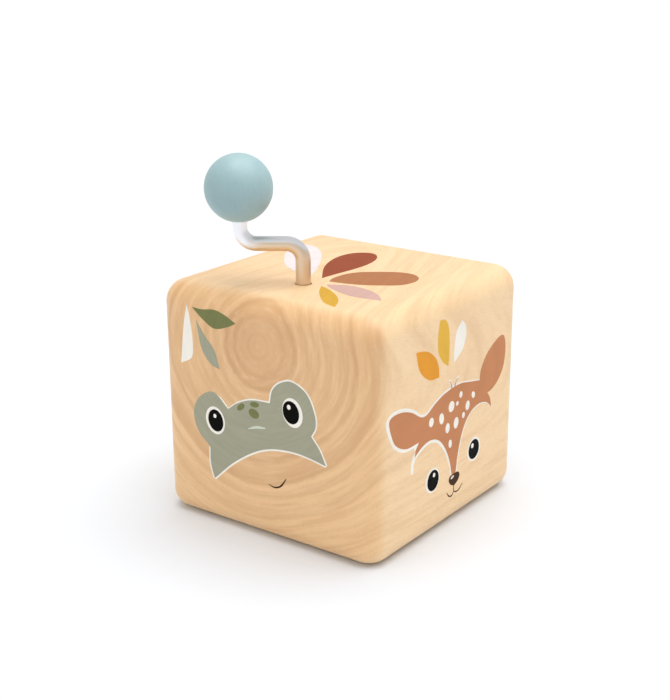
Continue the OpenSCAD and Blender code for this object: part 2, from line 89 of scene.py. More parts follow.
class Shader:
    """A material's node tree, with one call to add and wire a node."""

    def __init__(self, name):
        self.material = bpy.data.materials.new(name)
        self.material.use_nodes = True
        self.tree = self.material.node_tree
        self.tree.nodes.clear()

    def add(self, kind, inputs=None, output=0, **settings):
        """Adds a node, sets or links its inputs, and returns one of its output sockets."""
        node = self.tree.nodes.new(kind)
        for key, value in settings.items():
            setattr(node, key, value)
        for key, value in (inputs or {}).items():
            if isinstance(value, bpy.types.NodeSocket):
                self.tree.links.new(value, node.inputs[key])
            else:
                node.inputs[key].default_value = value
        return node.outputs[output] if node.outputs else None

    def math(self, operation, first, second=0.0, third=0.0):
        """One sum on up to three values."""
        return self.add("ShaderNodeMath", {0: first, 1: second, 2: third}, operation=operation)

    def noise(self, vector, scale, detail=2.0, roughness=0.5):
        """Soft noise around 0.5, with `scale` bumps to a metre."""
        inputs = {"Vector": vector, "Scale": scale, "Detail": detail, "Roughness": roughness}
        return self.add("ShaderNodeTexNoise", inputs)

    def stretched(self, vector, x, y, z):
        """Places scaled along each axis: a small number draws the noise out along it."""
        return self.add("ShaderNodeVectorMath", {0: vector, 1: (x, y, z)}, operation="MULTIPLY")

    def ramp(self, value, stops):
        """A smooth grey curve through (place, level) pairs."""
        output = self.add("ShaderNodeValToRGB", {"Fac": value})
        ramp = output.node.color_ramp
        ramp.interpolation = "EASE"
        while len(ramp.elements) < len(stops):
            ramp.elements.new(0.5)
        for element, (place, level) in zip(ramp.elements, stops):
            element.position = place
            element.color = (level, level, level, 1.0)
        return output

    def range(self, value, low, high, to_low, to_high):
        """A value from one range taken over to another, and held at its ends."""
        inputs = {"Value": value, "From Min": low, "From Max": high, "To Min": to_low, "To Max": to_high}
        return self.add("ShaderNodeMapRange", inputs)

    def mix(self, factor, first, second, blend_type="MIX"):
        """Two colours mixed."""
        inputs = {"Factor": factor, 6: first, 7: second}
        return self.add("ShaderNodeMix", inputs, output=2, data_type="RGBA", blend_type=blend_type)

    def finish(self, inputs, bump=None, bump_distance=0.0001, bump_strength=0.3):
        """Adds the surface shader, with a bump from a height where one is given."""
        inputs = dict(inputs)
        if bump is not None:
            bump_inputs = {"Height": bump, "Distance": bump_distance, "Strength": bump_strength}
            inputs["Normal"] = self.add("ShaderNodeBump", bump_inputs)
        surface = self.add("ShaderNodeBsdfPrincipled", inputs)
        self.add("ShaderNodeOutputMaterial", {"Surface": surface})
        return self.material


# ---------- wood ----------

PITH_POINT = (-0.0015, -0.045, 0.0675)    # where the heart of the log meets the front face
PITH_DIRECTION = (-0.16, 1.0, -0.2)

# Outer edge of each broad growth ring, in millimetres from the heart, and how dark it is there
BROAD_RINGS = (
    (1.4, 0.66), (3.8, 0.76), (6.4, 0.68), (10.2, 0.86), (14.2, 0.9), (19.5, 0.56), (23.2, 0.58),
    (28.3, 0.5), (34.8, 0.56), (38.3, 0.8), (46.5, 0.72), (51.0, 0.4), (57.5, 0.36),
)
RING_REACH = 66.0            # mm, beyond the outermost ring
RING_FALL = 1.8              # mm, how quickly the next ring's pale early wood begins
RING_WANDER = 7.0            # mm, how far a ring strays from round over the whole face
RING_RIPPLE = 1.4            # mm, how far it strays over a short way
STREAK_CIRCLE = 3.5          # mm, a wider circle breaks the streaks into shorter arcs
HEART = 13.0                 # mm, the darker wood round the heart
SAP = 40.0                   # mm, where the pale outer wood begins

# How dark the early wood is between two ring edges: in the heart, outside it and near the bark
HEART_DARKNESS = 0.6
MIDDLE_DARKNESS = 0.34
SAP_DARKNESS = 0.12


def ring_stops():
    """The curve from the heart outwards that darkens to each ring's edge and pales just past it."""
    stops = [(0.0, 0.5)]
    for edge, darkness in BROAD_RINGS:
        pale = HEART_DARKNESS if edge < HEART else SAP_DARKNESS if edge > SAP else MIDDLE_DARKNESS
        stops += [(edge / RING_REACH, darkness), ((edge + RING_FALL) / RING_REACH, pale)]
    return stops


def wood_grain(shader):
    """Growth rings, streaks and fibres round the heart of the log, as three values from 0 to 1."""
    lean = Vector(PITH_DIRECTION).to_track_quat("Z", "X").to_euler()
    place = shader.add("ShaderNodeTexCoord", output="Object")
    along = shader.add(
        "ShaderNodeMapping",
        {"Vector": place, "Location": PITH_POINT, "Rotation": lean},
        vector_type="TEXTURE",
    )
    across = shader.stretched(along, 1.0, 1.0, 0.0)
    radius = shader.add("ShaderNodeVectorMath", {0: across}, output="Value", operation="LENGTH")
    wide = shader.noise(shader.stretched(along, 1.0, 1.0, 0.12), 24.0, 0.0)
    narrow = shader.noise(shader.stretched(along, 1.0, 1.0, 0.06), 150.0, 3.0)
    wander = shader.math("MULTIPLY_ADD", wide, RING_WANDER * MM, -RING_WANDER * MM / 2)
    ripple = shader.math("MULTIPLY_ADD", narrow, RING_RIPPLE * MM, -RING_RIPPLE * MM / 2)
    wavy_radius = shader.math("ADD", radius, wander)
    rippled_radius = shader.math("ADD", wavy_radius, ripple)
    reach_share = shader.math("DIVIDE", rippled_radius, RING_REACH * MM)
    broad = shader.ramp(reach_share, ring_stops())
    patch = shader.noise(shader.stretched(along, 1.0, 1.0, 0.15), 45.0, 2.0)
    rings = shader.math("MULTIPLY", broad, shader.range(patch, 0.36, 0.62, 0.75, 1.0))
    way_round = shader.add("ShaderNodeVectorMath", {0: across}, operation="NORMALIZE")
    outward = shader.add("ShaderNodeCombineXYZ", {"Z": wavy_radius})
    circle = (STREAK_CIRCLE * MM,) * 3
    by_ring = shader.add(
        "ShaderNodeVectorMath", {0: way_round, 1: circle, 2: outward}, operation="MULTIPLY_ADD"
    )
    length = shader.add("ShaderNodeSeparateXYZ", {"Vector": along}, output="Z")
    arcs = shader.add(
        "ShaderNodeTexNoise",
        {
            "Vector": by_ring, "W": shader.math("MULTIPLY", length, 0.05),
            "Scale": 800.0, "Detail": 2.0, "Roughness": 0.55,
        },
        noise_dimensions="4D",
    )
    pores = shader.noise(shader.stretched(along, 1.0, 1.0, 0.025), 520.0, 4.0, 0.65)
    lines = shader.math("MULTIPLY_ADD", arcs, 0.82, shader.math("MULTIPLY", pores, 0.18))
    strength = shader.range(wavy_radius, 0.003, HEART * MM, 0.25, 1.0)
    streaks = shader.math("MULTIPLY_ADD", shader.math("SUBTRACT", lines, 0.5), strength, 0.5)
    fibres = shader.noise(shader.stretched(along, 1.0, 1.0, 0.02), 2600.0, 2.0, 0.6)
    return rings, streaks, fibres


def end_grain_share(shader):
    """1 on the faces that cut the log across, 0 on those that run along it."""
    axis = Vector(PITH_DIRECTION).normalized()
    normal = shader.add("ShaderNodeNewGeometry", output="Normal")
    facing = shader.add(
        "ShaderNodeVectorMath", {0: normal, 1: axis}, output="Value", operation="DOT_PRODUCT"
    )
    return shader.ramp(shader.math("ABSOLUTE", facing), [(0.3, 0.0), (0.85, 1.0)])


def block_wood():
    """Pale solid wood, fine sanded, with a thin satin coat."""
    shader = Shader("block_wood")
    rings, streaks, fibres = wood_grain(shader)
    end_grain = end_grain_share(shader)
    ring_share = shader.math("MULTIPLY", rings, shader.range(end_grain, 0.0, 1.0, 0.55, 1.0))
    colour = shader.mix(ring_share, srgb(248, 214, 167), srgb(208, 163, 116))
    streak_strength = shader.range(end_grain, 0.0, 1.0, 0.75, 1.0)
    for far_end, most, tint in ((0.64, 0.38, srgb(217, 174, 126)), (0.36, 0.24, srgb(254, 226, 182))):
        share = shader.math("MULTIPLY", shader.range(streaks, 0.48, far_end, 0.0, most), streak_strength)
        colour = shader.mix(share, colour, tint)
    fibre_share = shader.range(fibres, 0.4, 0.75, 0.0, 0.2)
    colour = shader.mix(fibre_share, colour, srgb(205, 160, 112))
    cut_across = shader.mix(1.0, colour, srgb(249, 239, 228), "MULTIPLY")
    colour = shader.mix(end_grain, colour, cut_across)
    inputs = {
        "Base Color": colour,
        "Roughness": shader.range(streaks, 0.3, 0.7, 0.42, 0.56),
        "Specular IOR Level": 0.5,
        "Coat Weight": 0.2,
        "Coat Roughness": 0.35,
    }
    return shader.finish(inputs, bump=fibres, bump_distance=0.00012, bump_strength=0.25)


def plywood():
    """Birch plywood: long pale grain on the faces, dark and light plies on the edge."""
    shader = Shader("plywood")
    place = shader.add("ShaderNodeTexCoord", output="Object")
    grain = shader.noise(shader.stretched(place, 0.06, 1.0, 1.0), 900.0, 4.0, 0.6)
    figure = shader.noise(shader.stretched(place, 0.12, 1.0, 0.2), 110.0, 3.0)
    height = shader.add("ShaderNodeSeparateXYZ", {"Vector": place}, output="Z")
    ply = shader.math("PINGPONG", height, 0.001)
    ply_share = shader.range(ply, 0.0, 0.001, 0.0, 0.25)
    figure_share = shader.range(figure, 0.35, 0.65, 0.0, 1.0)
    colour = shader.mix(figure_share, srgb(226, 198, 152), srgb(210, 178, 130))
    grain_share = shader.range(grain, 0.4, 0.8, 0.0, 0.5)
    colour = shader.mix(grain_share, colour, srgb(182, 146, 101))
    colour = shader.mix(ply_share, colour, srgb(160, 118, 78))
    return shader.finish({"Base Color": colour, "Roughness": 0.62}, bump=grain, bump_strength=0.3)


def ball_paint():
    """Satin light blue paint on a turned wooden ball: its grain shows as fine waves."""
    shader = Shader("ball_paint")
    place = shader.add("ShaderNodeTexCoord", output="Object")
    grain = shader.noise(shader.stretched(place, 1.0, 0.8, 0.08), 1300.0, 3.0, 0.6)
    cloud = shader.noise(place, 160.0, 3.0)
    cloud_share = shader.range(cloud, 0.35, 0.7, 0.0, 0.5)
    colour = shader.mix(cloud_share, srgb(155, 182, 185), srgb(147, 175, 179))
    grain_share = shader.range(grain, 0.5, 0.8, 0.0, 0.35)
    colour = shader.mix(grain_share, colour, srgb(134, 162, 167))
    inputs = {
        "Base Color": colour,
        "Roughness": shader.range(grain, 0.3, 0.8, 0.36, 0.46),
        "Specular IOR Level": 0.3,
        "Coat Weight": 0.1,
        "Coat Roughness": 0.3,
    }
    return shader.finish(inputs, bump=grain, bump_distance=0.00008, bump_strength=0.3)


def ink(name, colour):
    """Flat ink printed on the wood: slightly uneven, with the grain just showing through."""
    shader = Shader("ink_" + name)
    _, streaks, fibres = wood_grain(shader)
    darker = tuple(level * 0.88 for level in colour[:3]) + (1.0,)
    tone = shader.mix(shader.range(streaks, 0.35, 0.7, 0.0, 0.8), colour, darker)
    inputs = {
        "Base Color": tone,
        "Roughness": shader.range(fibres, 0.3, 0.7, 0.48, 0.6),
        "Specular IOR Level": 0.04,
    }
    return shader.finish(inputs, bump=fibres, bump_distance=0.0001, bump_strength=0.2)


# ---------- metal and plastic ----------


def metal(name, colour, roughness, stretch=(1.0, 1.0, 1.0), scale=1500.0, contrast=0.12, bump=0.1):
    """Bare metal with fine marks of drawing, turning or casting along the stretched direction."""
    shader = Shader(name)
    place = shader.add("ShaderNodeTexCoord", output="Object")
    marks = shader.noise(shader.stretched(place, *stretch), scale, 3.0, 0.6)
    stain = shader.noise(place, 120.0, 3.0)
    darker = tuple(level * (1.0 - contrast) for level in colour[:3]) + (1.0,)
    tone = shader.mix(shader.range(stain, 0.3, 0.7, 0.0, 1.0), colour, darker)
    inputs = {
        "Base Color": tone,
        "Metallic": 1.0,
        "Roughness": shader.range(marks, 0.25, 0.75, roughness * 0.8, roughness * 1.25),
    }
    return shader.finish(inputs, bump=marks, bump_distance=0.00003, bump_strength=bump)


PAINTED_REFLECTION_WITHIN = 0.019          # m from the foot of the rod, where the painted reflection of the wood is full
PAINTED_REFLECTION_UP_TO = 0.024           # m, where the painted reflection has gone


def rod_steel():
    """Brushed rod with a painted reflection: near the block its lower side is tinted the colour of the
    wood.
    """
    shader = Shader("rod_steel")
    place = shader.add("ShaderNodeTexCoord", output="Object")
    marks = shader.noise(shader.stretched(place, 1.0, 1.0, 0.1), 1200.0, 3.0, 0.6)
    shaft_low, shaft_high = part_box("worm_shaft")
    foot = (Vector(shaft_low) + Vector(shaft_high)) / 2
    foot.z = block_high.z
    from_foot = shader.add(
        "ShaderNodeVectorMath", {0: place, 1: foot}, output="Value", operation="DISTANCE"
    )
    normal = shader.add("ShaderNodeNewGeometry", output="Normal")
    upward = shader.add("ShaderNodeSeparateXYZ", {"Vector": normal}, output="Z")
    # Painted reflection of the wood: faces near the rod's foot that look sideways or down get a
    # wood-coloured tint.
    near_block = shader.range(from_foot, PAINTED_REFLECTION_WITHIN, PAINTED_REFLECTION_UP_TO, 1.0, 0.0)
    not_upward = shader.range(upward, 0.25, 0.5, 1.0, 0.0)
    painted_reflection = shader.math("MULTIPLY", near_block, not_upward)
    colour = shader.mix(painted_reflection, (0.91, 0.91, 0.93, 1.0), (0.76, 0.61, 0.45, 1.0))
    roughness = shader.range(marks, 0.25, 0.75, 0.38, 0.46)
    inputs = {"Base Color": colour, "Metallic": 1.0, "Roughness": roughness}
    return shader.finish(inputs, bump=marks, bump_distance=0.00001, bump_strength=0.03)


def nylon():
    """Milky moulded plastic."""
    shader = Shader("nylon")
    place = shader.add("ShaderNodeTexCoord", output="Object")
    cloud = shader.noise(place, 400.0, 2.0)
    cloud_share = shader.range(cloud, 0.3, 0.7, 0.0, 1.0)
    colour = shader.mix(cloud_share, srgb(242, 242, 238), srgb(230, 230, 224))
    inputs = {"Base Color": colour, "Roughness": 0.42, "Subsurface Weight": 0.1}
    return shader.finish(inputs, bump=cloud, bump_distance=0.00003, bump_strength=0.1)


def dress_cad_nodes():
    """Gives every CAD node the material of its slot."""
    finishes = {
        "block_wood": block_wood(),
        "plywood": plywood(),
        "ball_paint": ball_paint(),
        "rod_steel": rod_steel(),
        "shaft_steel": metal("shaft_steel", (0.62, 0.62, 0.63, 1.0), 0.28, (1, 1, 0.1)),
        "comb_steel": metal("comb_steel", (0.56, 0.56, 0.58, 1.0), 0.32, (0.05, 1, 1)),
        "screw_steel": metal("screw_steel", (0.60, 0.61, 0.62, 1.0), 0.3),
        "zinc_casting": metal("zinc_casting", (0.50, 0.51, 0.53, 1.0), 0.46, scale=900.0, bump=0.35),
        "brass": metal("brass", (0.80, 0.58, 0.25, 1.0), 0.26, (1, 0.1, 1)),
        "lead": metal("lead", (0.25, 0.26, 0.28, 1.0), 0.6, scale=900.0, bump=0.3),
        "nylon": nylon(),
    }
    for part in frame["record"]["subparts"]:
        node = nodes[part["node"]]
        node.data.materials.clear()
        node.data.materials.append(finishes[part["material_slot"]])


# ---------- outlines, in millimetres on a face ----------


def curve_through(points, step=0.5):
    """A smooth curve through a few points, as points about `step` apart."""
    points = [np.array(p, float) for p in points]
    padded = [2 * points[0] - points[1]] + points + [2 * points[-1] - points[-2]]
    curve = []
    for before, start, end, after in zip(padded, padded[1:], padded[2:], padded[3:]):
        slope = end - before
        bend = 2 * before - 5 * start + 4 * end - after
        twist = 3 * start - before - 3 * end + after
        pieces = max(2, math.ceil(np.linalg.norm(end - start) / step))
        for i in range(pieces):
            t = i / pieces
            curve.append(0.5 * (2 * start + slope * t + bend * t**2 + twist * t**3))
    curve.append(points[-1])
    return np.array(curve)


def outline(*runs):
    """A closed outline of smooth runs that meet at corners: each run starts where the last ended."""
    return np.concatenate([curve_through(run)[:-1] for run in runs])


def placed(x, y, along, across, degrees):
    """Points `along` and `across` a direction in degrees, with (x, y) as their start."""
    turn = math.radians(degrees)
    right = x + along * math.cos(turn) - across * math.sin(turn)
    up = y + along * math.sin(turn) + across * math.cos(turn)
    return np.stack([right, up], axis=1)


def ellipse(x, y, across, up, degrees=0.0):
    """Closed ellipse about (x, y) with the given half widths, turned anticlockwise."""
    angles = np.linspace(0, 2 * math.pi, 40, endpoint=False)
    return placed(x, y, across * np.cos(angles), up * np.sin(angles), degrees)


def stroke(points, widths):
    """A brush stroke along a smooth curve. Its full width passes through `widths` at even steps."""
    line = curve_through(points)
    tangent = np.gradient(line, axis=0)
    tangent /= np.linalg.norm(tangent, axis=1, keepdims=True)
    side = np.stack([-tangent[:, 1], tangent[:, 0]], axis=1)
    along = np.linspace(0, 1, len(line))
    half = np.interp(along, np.linspace(0, 1, len(widths)), widths)[:, None] / 2
    return np.concatenate([line + side * half, (line - side * half)[::-1]])


def leaf(x, y, degrees, length, width):
    """A plain leaf that grows from its stalk end at (x, y), widest just short of the middle."""
    t = np.linspace(0, 1, 24)
    half = 0.5 * width * np.sin(math.pi * t**0.85) ** 0.9
    along = np.concatenate([t, t[-2:0:-1]]) * length
    across = np.concatenate([half, -half[-2:0:-1]])
    return placed(x, y, along, across, degrees)


# ---------- skins of ink ----------


def on_block(face, flat, lift):
    """Points of a face, moved straight in to the block's surface and out again by `lift` mm."""
    right, up = (np.array(v, float) for v in FACES[face])
    outward = np.cross(right, up)
    spread = flat[:, :1] * right + (flat[:, 1:] + DRAWING_FOOT * up[2]) * up
    past = spread - np.clip(spread, INNER_LOW, INNER_HIGH)
    past -= outward * (past @ outward)[:, None]
    rise = np.sqrt(np.maximum(EDGE_RADIUS**2 - (past**2).sum(axis=1), 0.01))[:, None]
    inner = np.where(outward > 0, INNER_HIGH, INNER_LOW) * np.abs(outward)
    normal = (past + outward * rise) / EDGE_RADIUS
    return (spread - past + inner + normal * (EDGE_RADIUS + lift)) * MM


def fill_points(shape, gap=0.9):
    """A grid of points inside an outline, clear of its edge, so that its skin can bend smoothly."""
    low, high = shape.min(axis=0), shape.max(axis=0)
    steps = [np.arange(a + gap / 2, b, gap) for a, b in zip(low, high)]
    grid = np.stack(np.meshgrid(*steps), axis=-1).reshape(-1, 2)
    if not len(grid):
        return grid
    x, y = grid[:, :1], grid[:, 1:]
    start, end = shape, np.roll(shape, -1, axis=0)
    crosses = (start[:, 1] > y) != (end[:, 1] > y)
    rise = np.where(end[:, 1] == start[:, 1], 1.0, end[:, 1] - start[:, 1])
    at = start[:, 0] + (y - start[:, 1]) * (end[:, 0] - start[:, 0]) / rise
    inside = (crosses & (x < at)).sum(axis=1) % 2 == 1
    near = np.linalg.norm(grid[:, None] - shape[None], axis=2).min(axis=1) < gap * 0.4
    return grid[inside & ~near]


def add_skin(mesh, face, shape, lift):
    """Adds one outline to a bmesh as a thin closed shell on the block."""
    inside = fill_points(shape)
    points = [Vector(p) for p in np.concatenate([shape, inside])]
    ring = list(range(len(shape)))
    flat, _, triangles, *_ = delaunay_2d_cdt(points, [], [ring], 1, 1e-4)
    flat = np.array([tuple(p) for p in flat])
    top = [mesh.verts.new(p) for p in on_block(face, flat, lift)]
    bottom = [mesh.verts.new(p) for p in on_block(face, flat, -INK_ROOT)]
    sides = {}
    for triangle in triangles:
        mesh.faces.new([top[i] for i in triangle]).smooth = True
        mesh.faces.new([bottom[i] for i in reversed(triangle)]).smooth = True
        for a, b in zip(triangle, triangle[1:] + triangle[:1]):
            sides[(a, b)] = True
    for a, b in sides:
        if (b, a) not in sides:
            wall = mesh.faces.new([top[b], top[a], bottom[a], bottom[b]])
            for edge in wall.edges:
                edge.smooth = False


def printed(name, face, shapes, colour, layer=0):
    """One colour of print on one face, from one or more outlines."""
    if isinstance(shapes, np.ndarray):
        shapes = [shapes]
    mesh = bmesh.new()
    for number, shape in enumerate(shapes):
        add_skin(mesh, face, shape, INK_STEP * (layer + 1) + INK_APART * number)
    loose = [v for v in mesh.verts if not v.link_faces]
    bmesh.ops.delete(mesh, geom=loose, context="VERTS")
    bmesh.ops.recalc_face_normals(mesh, faces=mesh.faces)
    data = bpy.data.meshes.new("print_" + name)
    mesh.to_mesh(data)
    mesh.free()
    data.materials.append(INKS[colour])
    piece = bpy.data.objects.new("print_" + name, data)
    bpy.context.scene.collection.objects.link(piece)
    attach(piece, "housing")
    return piece


def make_inks():
    """One material for each colour of print. The darker copies of an ink are painted shade for the top,
    which is lit more; dark_white is also the greyer white of the fawn's printed nose glint.
    """
    colours = {
        "white": srgb(249, 243, 232),
        # A greyer white: painted shade on the top's white leaf, and the colour of the fawn's printed nose
        # glint.
        "dark_white": srgb(228, 219, 218),
        "sage": srgb(167, 166, 144),
        "green": srgb(212, 216, 198),
        "olive": srgb(124, 127, 82),
        "terracotta": srgb(202, 138, 97),
        # A darker copy of terracotta: painted shade for the top face.
        "shaded_terracotta": srgb(176, 119, 81),
        "red": srgb(152, 78, 53),
        "pink": srgb(206, 168, 157),
        "mustard": srgb(231, 183, 76),
        # A darker copy of mustard: painted shade for the top face.
        "shaded_mustard": srgb(210, 163, 62),
        "orange": srgb(233, 158, 56),
        "black": srgb(8, 8, 6),
        "brown": srgb(74, 50, 34),
    }
    return {name: ink(name, colour) for name, colour in colours.items()}


# ---------- the prints ----------


def frog():
    """Head, eyes and smile of the frog on the front face."""
    left_bump = [(-23, 25.6), (-28.2, 30.4), (-29.9, 37), (-27, 42.8), (-20.7, 45.8), (-14.5, 41.2)]
    forehead = [(-14.5, 41.2), (-10, 44.3), (-4, 46.5), (3.4, 47.1)]
    right_bump = [
        (3.4, 47.1), (4.6, 51.8), (8, 55), (12.8, 56.2), (18.5, 53.4), (21.5, 47.5), (21.9, 43),
        (20.1, 39.4),
    ]
    right_cheek = [(20.1, 39.4), (23.4, 35.5), (25.9, 30.6)]
    chin = [(25.9, 30.6), (18.5, 31.9), (11.5, 32.2), (3.5, 31.1), (-4, 28.1), (-13, 22.1), (-21.5, 14.4)]
    left_cheek = [(-21.5, 14.4), (-23, 19.5), (-23, 25.6)]
    head = outline(left_bump, forehead, right_bump, right_cheek, chin, left_cheek)
    edges = [
        stroke(forehead, (0.5, 1.1, 1.1)),
        stroke(right_bump, (1.1, 1.1, 1.1, 1.0)),
        stroke(right_cheek, (1.0, 1.2)),
        stroke(chin, (1.0, 1.3, 1.3, 1.2)),
        stroke(left_cheek, (1.2, 1.0)),
        stroke([(-21.5, 45.8), (-17.6, 44.2), (-14.5, 41.2)], (0.2, 0.6, 0.6)),
    ]
    printed("frog_edge", "front", edges, "white", 0)
    printed("frog_head", "front", head, "sage", 1)
    spots = [
        ellipse(-8.9, 43.1, 1.9, 1.0, 38),
        ellipse(-3.0, 45.2, 1.9, 0.95, 8),
        ellipse(-3.4, 42.0, 2.2, 1.6, -12),
    ]
    printed("frog_spots", "front", spots, "olive", 2)
    nose = stroke([(-6, 36.1), (-2.4, 37.4), (1.4, 37.9)], (0.3, 0.9, 0.9, 0.4))
    printed("frog_nose", "front", nose, "green", 2)
    eye_rings = [ellipse(-20.3, 35.8, 4.2, 4.9, 8), ellipse(12.7, 45.8, 4.1, 5.0, 12)]
    printed("frog_eye_rings", "front", eye_rings, "white", 2)
    pupils = [ellipse(-20.1, 35.8, 3.3, 3.9, 8), ellipse(12.1, 45.8, 3.3, 3.9, 12)]
    printed("frog_pupils", "front", pupils, "black", 3)
    glints = [ellipse(-20.4, 37.4, 0.65, 0.75), ellipse(11.3, 47.5, 0.75, 0.85)]
    printed("frog_glints", "front", glints, "white", 4)
    smile = stroke([(2.2, 18.3), (4.8, 17.8), (7.4, 19), (9.6, 22)], (0.2, 0.6, 0.65, 0.3))
    printed("frog_smile", "front", smile, "brown", 0)


def fawn():
    """Head, eyes, spots, nose and mouth of the fawn on the right face."""
    left_side = [
        (-20.6, 35.2), (-28, 35.4), (-34, 38.5), (-36.9, 43.5), (-37.7, 47.6), (-35.2, 48.9),
        (-30, 48.5), (-24.8, 46.7), (-19.6, 43.6), (-16, 43.3), (-11.5, 45.4), (-6, 47.2), (0, 48),
    ]
    crown = [(0, 48), (5, 48), (11, 46.8), (17.3, 45.5)]
    right_ear = [
        (17.3, 45.5), (18.2, 49.5), (22, 54), (27.6, 57), (32, 58), (34, 56), (34.6, 51), (33.4, 46),
        (30.5, 42.3), (26.5, 40), (22.9, 39.3),
    ]
    right_cheek = [(22.9, 39.3), (24.8, 36.8), (25.8, 33.3)]
    right_brow = [(25.8, 33.3), (22.5, 35.9), (18, 37), (13, 36.2), (9, 33.5), (6, 29), (4, 23), (2.7, 16)]
    nose_bridge = [(2.7, 16), (0.4, 16)]
    left_brow = [
        (0.4, 16), (-1.1, 21.5), (-4, 27.2), (-8.3, 31.8), (-13.5, 33.6), (-18.5, 32.9), (-22.9, 30.8),
    ]
    left_cheek = [(-22.9, 30.8), (-22.2, 33.2), (-20.6, 35.2)]
    head = outline(
        left_side, crown, right_ear, right_cheek, right_brow, nose_bridge, left_brow, left_cheek
    )
    edges = [
        stroke(left_side, (1.6, 2.4, 2.7, 2.6, 1.8, 1.5, 1.2)),
        stroke(crown, (1.2, 0.7)),
        stroke(left_brow + [(-24.2, 28.4), (-24.4, 25.3)], (1.2, 1.8, 2.2, 2.2, 2.2, 1.5)),
        stroke(right_brow, (0.2, 0.8, 1.0, 1.2, 1.4, 1.2)),
        stroke([(-20.6, 35.2), (-23.2, 33.4)], (1.6, 1.4)),
        stroke([(-2.6, 51.2), (-1.6, 50), (-0.9, 48)], (1.0, 1.3)),
        stroke([(3.4, 51), (1.8, 50), (0.9, 48)], (1.0, 1.3)),
    ]
    printed("fawn_edge", "right", edges, "white", 0)
    printed("fawn_head", "right", head, "terracotta", 1)
    tuft = [
        stroke([(-2.4, 50.8), (-1.5, 49.9), (-0.9, 47.8)], (0.25, 0.6)),
        stroke([(3, 50.6), (1.7, 49.8), (0.9, 47.8)], (0.25, 0.6)),
    ]
    printed("fawn_tuft", "right", tuft, "terracotta", 2)
    spots = [
        ellipse(-13.3, 39.8, 1.4, 1.6), ellipse(-7.0, 39.1, 1.4, 2.0, 12), ellipse(-0.9, 41.5, 1.8, 1.9),
        ellipse(2.8, 41.5, 0.8, 0.8), ellipse(5.0, 44.0, 1.0, 1.15), ellipse(9.6, 38.7, 1.3, 1.7, -10),
        ellipse(7.0, 36.0, 0.85, 1.1), ellipse(13.2, 41.5, 1.0, 1.3, 30), ellipse(-3.1, 34.5, 1.3, 1.8),
        ellipse(2.3, 34.7, 1.5, 2.0, -6), ellipse(-1.2, 28.3, 1.0, 1.5, 6),
    ]
    printed("fawn_spots", "right", spots, "white", 2)
    eye_rings = [ellipse(-11.8, 18.7, 4.3, 4.4), ellipse(14.7, 21.0, 4.3, 4.4)]
    printed("fawn_eye_rings", "right", eye_rings, "white", 0)
    pupils = [ellipse(-11.5, 18.6, 3.5, 3.7, 8), ellipse(14.7, 21.0, 3.5, 3.6, 8)]
    printed("fawn_pupils", "right", pupils, "black", 1)
    glints = [ellipse(-11.0, 20.4, 0.7, 0.8), ellipse(13.6, 22.6, 0.85, 0.9)]
    printed("fawn_glints", "right", glints, "white", 2)
    nose = outline([
        (1.9, 11.9), (4.4, 13.1), (5.4, 14.9), (4.4, 16.2), (1.8, 16.5), (-0.6, 16.2), (-1.4, 14.9),
        (-0.4, 13.1), (1.9, 11.9),
    ])
    printed("fawn_nose", "right", nose, "brown", 2)
    printed("fawn_nose_glint", "right", ellipse(0.7, 15.4, 1.1, 0.5, 12), "dark_white", 3)
    mouth = [
        stroke([(-2.6, 10.8), (-1.2, 9.1), (0.6, 8.6), (1.9, 9.8)], (0.2, 0.5, 0.5, 0.35)),
        stroke([(1.9, 9.8), (3.6, 9.1), (5.6, 9.4), (7.6, 10.9)], (0.35, 0.5, 0.5, 0.2)),
        stroke([(1.8, 12.2), (1.9, 9.7)], (0.35, 0.4)),
    ]
    printed("fawn_mouth", "right", mouth, "brown", 0)


def front_leaves():
    """Three leaves in the upper left corner of the front face."""
    white = outline(
        [(-31.3, 74.4), (-30, 69), (-29.2, 61.5), (-30, 56.2), (-34.8, 53.4)],
        [(-34.8, 53.4), (-34, 60), (-32.8, 68), (-31.3, 74.4)],
    )
    olive = outline(
        [(-29, 74), (-24.5, 73.9), (-19.5, 74.6), (-14.8, 73.6), (-10.2, 71.5)],
        [(-10.2, 71.5), (-14, 69.6), (-19.5, 68.2), (-24.5, 70.6), (-29, 74)],
    )
    sage = outline(
        [(-27.4, 69.8), (-23.5, 64.8), (-19.7, 60.6), (-17.6, 54.4)],
        [(-17.6, 54.4), (-21.5, 55.6), (-25.4, 60.5), (-27.4, 69.8)],
    )
    printed("front_leaf_white", "front", white, "white")
    printed("front_leaf_olive", "front", olive, "olive")
    printed("front_leaf_sage", "front", sage, "sage")


def right_leaves():
    """A fan of three leaves above the fawn's left ear."""
    orange = outline(
        [(-23, 66.2), (-19.3, 65.7), (-15.2, 64.3), (-11.2, 61.2), (-9.3, 57.6), (-8.9, 54)],
        [(-8.9, 54), (-15, 54.9), (-20.5, 59.3), (-23, 66.2)],
    )
    mustard = outline(
        [(-9, 73.4), (-5.5, 72.6), (-3.3, 68.5), (-2.9, 61.5), (-3.4, 56.4)],
        [(-3.4, 56.4), (-7, 58.9), (-9.7, 63), (-10, 68.5), (-9, 73.4)],
    )
    white = outline(
        [(4.8, 70.1), (7.2, 67.7), (7.4, 63.8), (5.2, 59.6), (0.2, 56.6)],
        [(0.2, 56.6), (0.2, 61.3), (1.4, 66.9), (4.8, 70.1)],
    )
    printed("right_leaf_orange", "right", orange, "orange")
    printed("right_leaf_mustard", "right", mustard, "mustard")
    printed("right_leaf_white", "right", white, "white")


